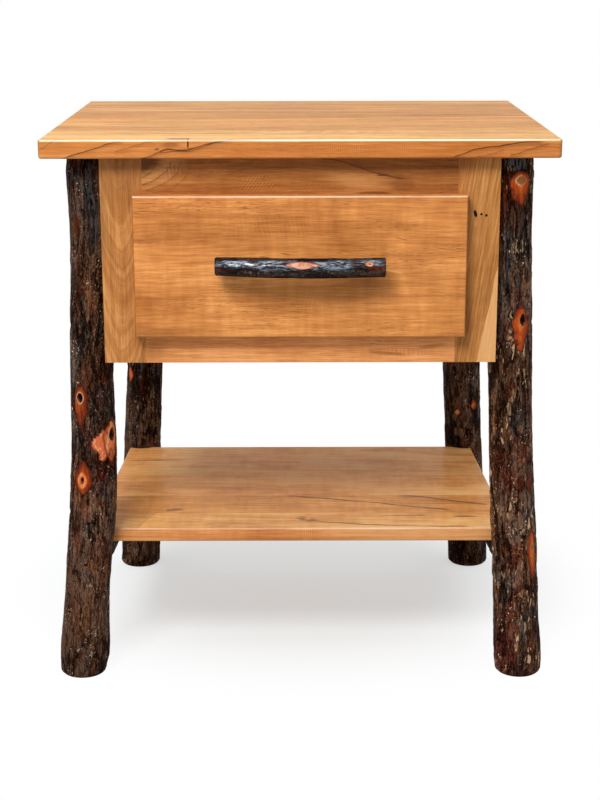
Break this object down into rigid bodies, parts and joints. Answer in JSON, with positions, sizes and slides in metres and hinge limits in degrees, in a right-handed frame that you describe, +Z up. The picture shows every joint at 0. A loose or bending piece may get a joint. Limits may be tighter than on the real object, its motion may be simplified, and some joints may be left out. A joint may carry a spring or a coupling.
{
  "type": "bedside table",
  "caption": "Rustic side table with bark-on pole legs, a case with one overlay drawer on slides, a twig pull and a flared lower shelf.",
  "frame": {"origin": "bottom centre of the bounding box of the whole table, on the floor", "axes": "+Z up, -Y towards the front where the drawer is, +X to the right seen from the front"},
  "size_m": [0.6242, 0.5504, 0.692],
  "materials": {
    "bark": "rough bark, satin clear coat",
    "top_wood": "honey stained board, satin clear coat",
    "case_wood": "honey stained board, satin clear coat",
    "front_wood": "honey stained board, satin clear coat",
    "shelf_wood": "honey stained board, satin clear coat",
    "inner_wood": "pale sanded board",
    "slide_steel": "zinc plated sheet",
    "fastener_steel": "zinc plated",
    "post_wood": "dark stained"
  },
  "bodies": {
    "root": {"case_back": "inner_wood", "case_side_left": "inner_wood", "case_side_right": "inner_wood", "cleat_left": "inner_wood", "cleat_right": "inner_wood", "frame_dowels": "inner_wood", "front_leg_bolts": "fastener_steel", "front_leg_washers": "fastener_steel", "leg_front_left": "bark", "leg_front_right": "bark", "leg_rear_left": "bark", "leg_rear_right": "bark", "rail_bottom": "case_wood", "rail_top": "case_wood", "rear_leg_bolts": "fastener_steel", "rear_leg_nuts": "fastener_steel", "rung_left": "bark", "rung_right": "bark", "shelf_board_1": "shelf_wood", "shelf_board_2": "shelf_wood", "shelf_board_3": "shelf_wood", "shelf_board_4": "shelf_wood", "shelf_screws": "fastener_steel", "slide_block_left": "inner_wood", "slide_block_right": "inner_wood", "slide_cabinet_screws": "fastener_steel", "slide_outer_left": "slide_steel", "slide_outer_right": "slide_steel", "stile_left": "case_wood", "stile_right": "case_wood", "top_board_1": "top_wood", "top_board_2": "top_wood", "top_board_3": "top_wood", "top_board_4": "top_wood", "top_screws": "fastener_steel"},
    "slide_middle_left": {"slide_middle_left": "slide_steel"},
    "slide_middle_right": {"slide_middle_right": "slide_steel"},
    "drawer": {"box_back": "inner_wood", "box_bottom": "inner_wood", "box_front": "inner_wood", "box_side_left": "inner_wood", "box_side_right": "inner_wood", "drawer_front": "front_wood", "drawer_front_screws": "fastener_steel", "pull_posts": "post_wood", "pull_screws": "fastener_steel", "pull_twig": "bark", "slide_drawer_screws": "fastener_steel", "slide_inner_left": "slide_steel", "slide_inner_right": "slide_steel"}
  },
  "joints": [
    {"name": "drawer_slide", "type": "slide", "parent": "root", "child": "drawer", "axis": [0, -1, 0], "range_m": [0, 0.35]},
    {"name": "slide_middle_left_travel", "type": "slide", "parent": "root", "child": "slide_middle_left", "axis": [0, -1, 0], "range_m": [0, 0.175]},
    {"name": "slide_middle_right_travel", "type": "slide", "parent": "root", "child": "slide_middle_right", "axis": [0, -1, 0], "range_m": [0, 0.175]}
  ],
  "couplings": [
    {"joint": "slide_middle_left_travel", "follows": "drawer_slide", "ratio": 0.5},
    {"joint": "slide_middle_right_travel", "follows": "drawer_slide", "ratio": 0.5}
  ]
}
